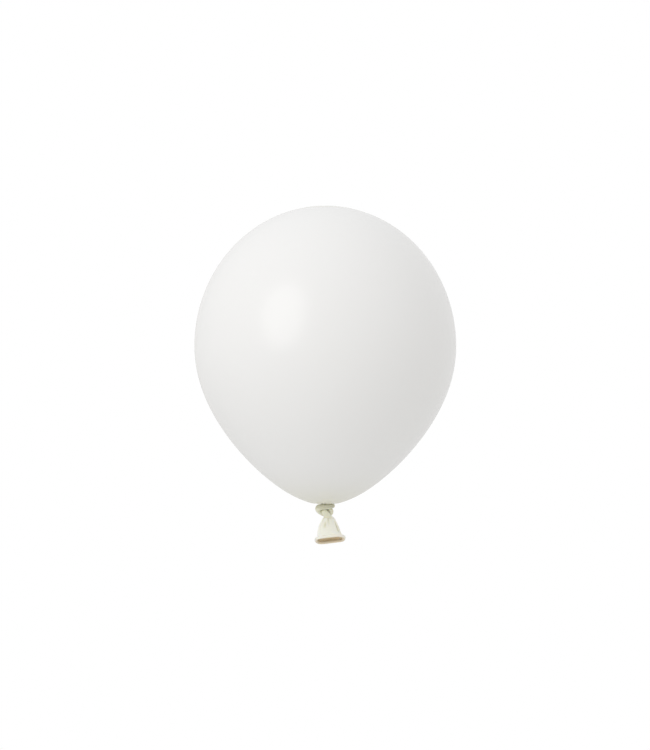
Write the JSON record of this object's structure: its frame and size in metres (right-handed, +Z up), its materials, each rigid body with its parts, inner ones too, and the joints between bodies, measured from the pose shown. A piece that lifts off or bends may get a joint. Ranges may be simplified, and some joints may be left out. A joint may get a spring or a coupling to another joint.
{
  "type": "latex balloon",
  "caption": "Round latex party balloon, inflated and tied off with a knot in its own neck, with a flared tail and a rolled lip.",
  "frame": {"origin": "on the balloon's axis at the throat, where the film gathers into the neck just above the knot", "axes": "+Z up through the crown, -Y towards the front, where the tail's mouth faces, +X to the right"},
  "size_m": [0.28, 0.28, 0.3619],
  "materials": {
    "stretched_latex": "thin stretched white latex, soft gloss",
    "neck_latex": "gathered cream latex, dull",
    "tail_latex": "unstretched ivory latex, satin"
  },
  "bodies": {
    "balloon": {"envelope": "stretched_latex"},
    "throat": {"throat_gather": "neck_latex"},
    "knot": {"knot_bight": "neck_latex", "knot_wrap": "neck_latex", "knot_tuck": "neck_latex"},
    "tail_root": {"tail_gather": "neck_latex"},
    "tail": {"tail_skirt": "tail_latex", "rolled_bead": "tail_latex"}
  },
  "joints": [
    {"name": "knot_twist", "type": "hinge", "parent": "balloon", "child": "throat", "pos_m": [0, 0, 0], "axis": [0, 0, 1], "range_deg": [-90, 90], "stiffness_Nm_per_rad": 0.0004},
    {"name": "knot_rock", "type": "hinge", "parent": "throat", "child": "knot", "pos_m": [0, 0, 0], "axis": [0, 1, 0], "range_deg": [-9, 9], "stiffness_Nm_per_rad": 0.003},
    {"name": "tail_sway", "type": "hinge", "parent": "knot", "child": "tail_root", "pos_m": [0.0032, -0.0004, -0.0158], "axis": [0, 1, 0], "range_deg": [-32, 32], "stiffness_Nm_per_rad": 0.001},
    {"name": "tail_nod", "type": "hinge", "parent": "tail_root", "child": "tail", "pos_m": [0.0032, -0.0004, -0.0158], "axis": [1, 0, 0], "range_deg": [-36, 50], "stiffness_Nm_per_rad": 0.001}
  ]
}
